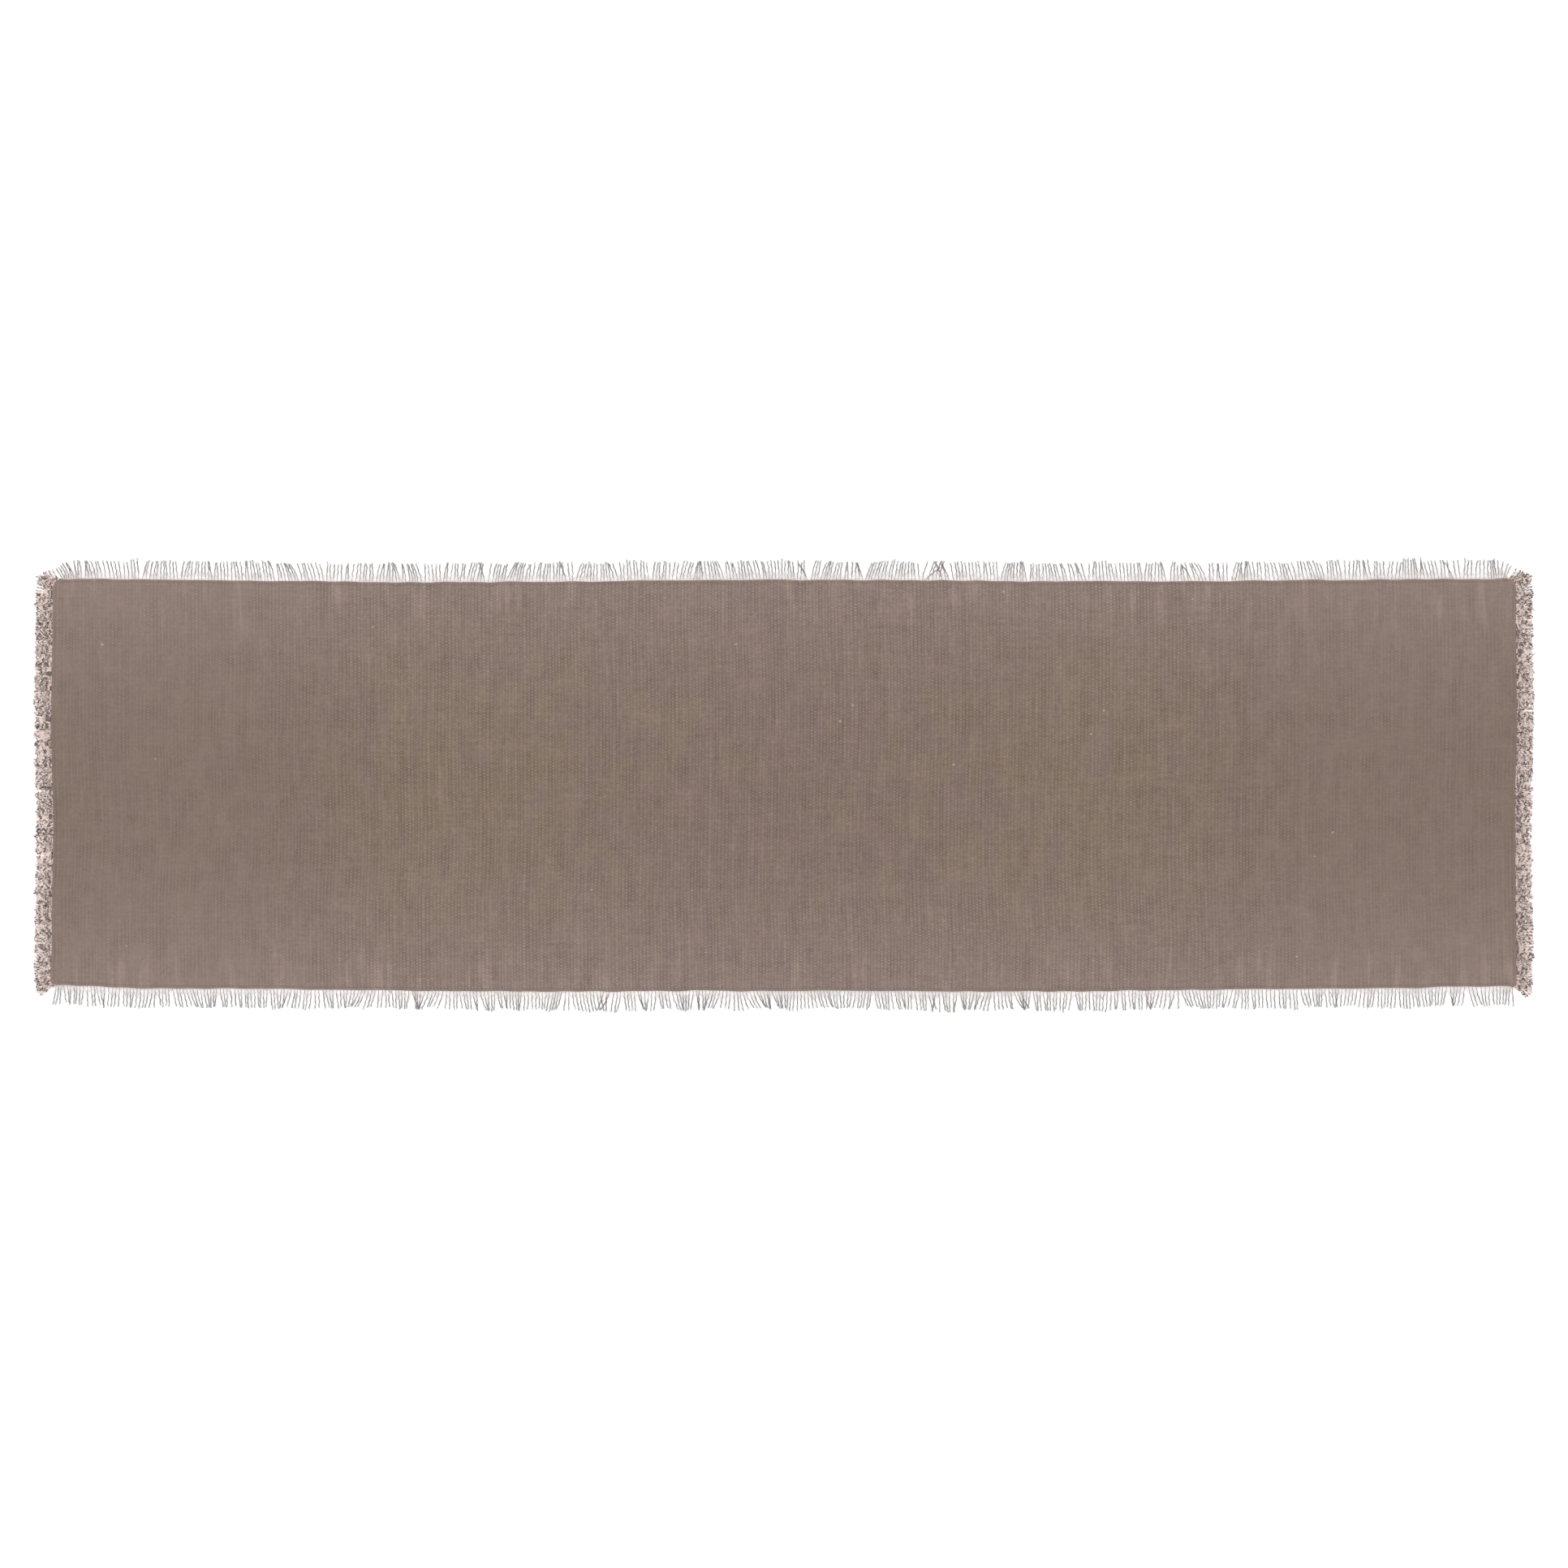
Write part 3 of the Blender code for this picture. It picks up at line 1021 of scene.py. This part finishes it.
    def _lint(self, centres: Array, rng: np.random.Generator) -> Shape:
        """Fine fibres that have worked loose from the yarns near the cloth."""
        source = np.repeat(np.arange(len(centres)), self.lint_count)
        count = len(source)
        share = np.linspace(0, 1, 5)
        length = rng.uniform(*self.lint_reach, size=count)
        lean = rng.normal(size=count) * 0.5
        bend = rng.normal(size=count) * 0.0012
        sideways = np.sin(lean)[:, None] * length[:, None] * share + bend[:, None] * share**2
        out = np.cos(lean)[:, None] * length[:, None] * share
        start = centres[source, rng.integers(1, max(2, self.points // 3), size=count)]
        lift = rng.uniform(-0.0003, 0.0006, size=count)[:, None] * share
        paths = np.repeat(start[:, None, :], len(share), axis=1)
        paths[..., :2] += sideways[..., None] * self.edge.along + out[..., None] * self.edge.outward
        paths[..., 2] = np.maximum(paths[..., 2] + lift, self.lint_radius)
        radii = np.full(paths.shape[:2], self.lint_radius)
        return Tubes(paths, radii, rng.random(count), 3).shape()


def weft_fringe(cloth: GroundCloth, edge: Edge, seed: int) -> Fringe:
    """The straight, sparse ends of the crosswise yarns.

    Args:
        cloth: the cloth they come out of.
        edge: the edge they are on.
        seed: for their random lie.

    Returns:
        The fringe, ready to build.
    """
    corner_length, splay = (0.75, 0.5) if edge is Edge.BACK else (1.0, 0.2)
    return Fringe(
        cloth, edge, seed, reach=0.0157, reach_spread=0.0010, ply_radius=0.00015, tip_radius=0.00012,
        twist_pitch=0.011, fray=2.8, crimp=0.00022, crimp_length=0.0048, tuft_sizes=(2, 8),
        tuft_lean=0.10, gathering=0.15, stray_share=0.05, corner_splay=(splay, splay), corner_zone=0.012,
        tip_height=0.0006, points=11, lint_count=5, slow_lean=0.22, corner_length=corner_length,
    )


def warp_fringe(cloth: GroundCloth, edge: Edge, seed: int) -> Fringe:
    """The crinkled, dense ends of the lengthwise yarns.

    Args:
        cloth: the cloth they come out of.
        edge: the edge they are on.
        seed: for their random lie.

    Returns:
        The fringe, ready to build.
    """
    return Fringe(
        cloth, edge, seed, reach=0.0138, reach_spread=0.0008, ply_radius=0.00028, tip_radius=0.00024,
        twist_pitch=0.0045, fray=0.4, crimp=0.00078, crimp_length=0.0033, tuft_sizes=(1, 4),
        tuft_lean=0.02, gathering=0.0, stray_share=0.08, corner_splay=(0.7, 1.15), corner_zone=0.012,
        tip_height=0.0006, points=28, lint_count=2, corner_yarns=8, corner_rise=0.0085, looseness=0.15,
        togetherness=0.55, crimp_start=0.08, slow_wave=0.2, alike=0.85, long_yarn=0.0205, plies=2, sides=5,
    )


# ---- the seams


@dataclass
class StaySeam:
    """One seam: a needle thread on top and a bobbin thread underneath, one dip to each stitch."""

    cloth: GroundCloth
    edge: Edge
    end_margin: float = 0.0045
    stitch: float = 0.003
    radius: float = 0.00015
    dip: float = 0.00030
    proud: float = 0.00006
    stitch_shares: tuple[float, ...] = (0.0, 0.12, 0.3, 0.5, 0.7, 0.88)
    stitch_rise: tuple[float, ...] = (0.0, 0.75, 1.0, 1.0, 1.0, 0.75)  # 0 in the dip, 1 on the cloth

    def build(self, material: bpy.types.Material) -> list[bpy.types.Object]:
        """Makes both threads.

        Args:
            material: the thread's finish.

        Returns:
            The two pieces.
        """
        return [self._thread("needle", 1.0, material), self._thread("bobbin", -1.0, material)]

    def _thread(self, kind: str, face: float, material: bpy.types.Material) -> bpy.types.Object:
        """One thread on the top (1) or the underside (-1) of the cloth."""
        half = (self.cloth.width if self.edge.is_end else self.cloth.length) / 2 - self.end_margin
        count = round(2 * half / self.stitch)
        shares = np.array(self.stitch_shares)
        along = ((np.arange(count)[:, None] + shares) / count * 2 * half - half).ravel()
        level = np.tile(np.array(self.stitch_rise), count)
        inset = self.cloth.seam_inset
        if self.edge.is_end:
            x = np.full_like(along, self.edge.outward[0] * (self.cloth.length / 2 - inset))
            y = along
        else:
            x, y = along, np.full_like(along, self.edge.outward[1] * (self.cloth.width / 2 - inset))
        surface = self.cloth.thickness / 2 + self.proud - self.radius
        height = self.cloth.middle(x, y) + face * (surface - self.dip * (1 - level))
        real_x, real_y = self.cloth.outline.place(x, y)
        path = np.stack([real_x, real_y, np.maximum(height, self.radius)], axis=-1)[None]
        radii = np.full(path.shape[:2], self.radius)
        name = f"{kind}_thread_{self.edge.label}"
        piece = Tubes(path, radii, np.zeros(1)).shape().piece(f"stitched_{name}", material)
        return take_place(piece, f"stay_stitch_{name}")


# ---- the studio


@dataclass(frozen=True)
class Studio:
    """A pale floor, soft light and a camera straight above."""

    view_width: float = 1.275
    lens: float = 85.0
    sensor: float = 36.0
    aim: tuple[float, float] = (0.0, 0.001)
    floor_size: float = 40.0
    floor_drop: float = 0.0002
    floor_colour: Colour = (0.95, 0.95, 0.95)
    sky: float = 1.0
    lamps: tuple[tuple[str, tuple[float, float, float], float, float], ...] = (
        ("key_light", (-4.0, 2.2, 4.2), 3.0, 160.0),
        ("fill_light", (4.4, -1.8, 4.0), 4.0, 90.0),
    )

    def build(self) -> None:
        """Sets up everything round the runner."""
        self._floor()
        self._sky()
        for lamp in self.lamps:
            self._lamp(*lamp)
        self._camera()
        bpy.context.scene.view_settings.view_transform = "Standard"

    def _floor(self) -> None:
        """The table or floor that the runner lies on."""
        graph = Graph("pale_floor")
        material = graph.finish({}, {"Base Color": (*self.floor_colour, 1.0), "Roughness": 0.9})
        half, level = self.floor_size / 2, -self.floor_drop
        turns = ((-half, -half), (half, -half), (half, half), (-half, half))
        corners = np.array([(x, y, level) for x, y in turns])
        floor = Shape(corners, [np.array([[0, 1, 2, 3]])], {}).piece("floor", material)

    def _sky(self) -> None:
        """Even light from all round."""
        world = bpy.data.worlds.new("soft_room")
        world.use_nodes = True
        world.node_tree.nodes["Background"].inputs["Color"].default_value = (1.0, 1.0, 1.0, 1.0)
        world.node_tree.nodes["Background"].inputs["Strength"].default_value = self.sky
        bpy.context.scene.world = world

    def _lamp(self, name: str, place: tuple[float, float, float], size: float, power: float) -> None:
        """A large soft lamp that points at the runner.

        Args:
            name: its name.
            place: where it hangs.
            size: the side of its square, in metres.
            power: in watts.
        """
        light = bpy.data.lights.new(name, "AREA")
        light.size = size
        light.energy = power
        lamp = bpy.data.objects.new(name, light)
        lamp.location = place
        lamp.rotation_euler = (-Vector(place)).to_track_quat("-Z", "Y").to_euler()
        bpy.context.scene.collection.objects.link(lamp)

    def _camera(self) -> None:
        """The camera, straight above, as far away as its lens needs to see the whole runner."""
        data = bpy.data.cameras.new("camera")
        data.lens = self.lens
        data.sensor_width = self.sensor
        data.clip_end = 100.0
        camera = bpy.data.objects.new("camera", data)
        distance = self.view_width / self.sensor * self.lens
        camera.location = (*self.aim, distance)
        bpy.context.scene.collection.objects.link(camera)
        bpy.context.scene.camera = camera


# ---- the runner


def cloth_from_frame() -> GroundCloth:
    """The ground cloth, with the size of its CAD node."""
    low, high = (np.array(corner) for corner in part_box("ground_cloth"))
    size = high - low
    return GroundCloth(length=float(size[0]), width=float(size[1]), thickness=float(size[2]))


def build_fringes(cloth: GroundCloth) -> list[bpy.types.Object]:
    """All four fringes.

    Args:
        cloth: the cloth they come out of.

    Returns:
        The pieces.
    """
    weft_finish = YarnFinish("weft_yarn", (0.115, 0.098, 0.090), (0.25, 0.215, 0.20), (0.55, 0.41, 0.35))
    # the warp yarn's very pale colour and strong mottle stand partly for painted highlights and shade on its
    # crinkles
    warp_finish = YarnFinish(
        "warp_yarn", (0.092, 0.053, 0.040), (0.80, 0.64, 0.58), (0.24, 0.16, 0.132), 0.1,
        difference=0.3, mottle_and_highlights=3.0, lump_length=0.0025,
    )
    kinds: dict[bool, tuple[str, Callable[..., Fringe], bpy.types.Material]] = {
        False: ("weft", weft_fringe, weft_finish.material()),
        True: ("warp", warp_fringe, warp_finish.material()),
    }
    pieces = []
    for seed, edge in enumerate(Edge):
        kind, make, material = kinds[edge.is_end]
        fringe = make(cloth, edge, 100 + 10 * seed)
        pieces.append(fringe.build(f"{kind}_fringe_{edge.label}", f"{kind}_yarn", material))
    return pieces


def main() -> None:
    """Builds the runner and the studio round it."""
    logging.basicConfig(level=logging.INFO, format="%(name)s: %(message)s")
    Studio().build()
    cloth = cloth_from_frame()
    sheet = cloth.build(ClothFinish(half_width=cloth.width / 2))
    fringes = build_fringes(cloth)
    thread = ThreadFinish().material()
    threads = [piece for edge in Edge for piece in StaySeam(cloth, edge).build(thread)]


if __name__ == "__main__":
    main()
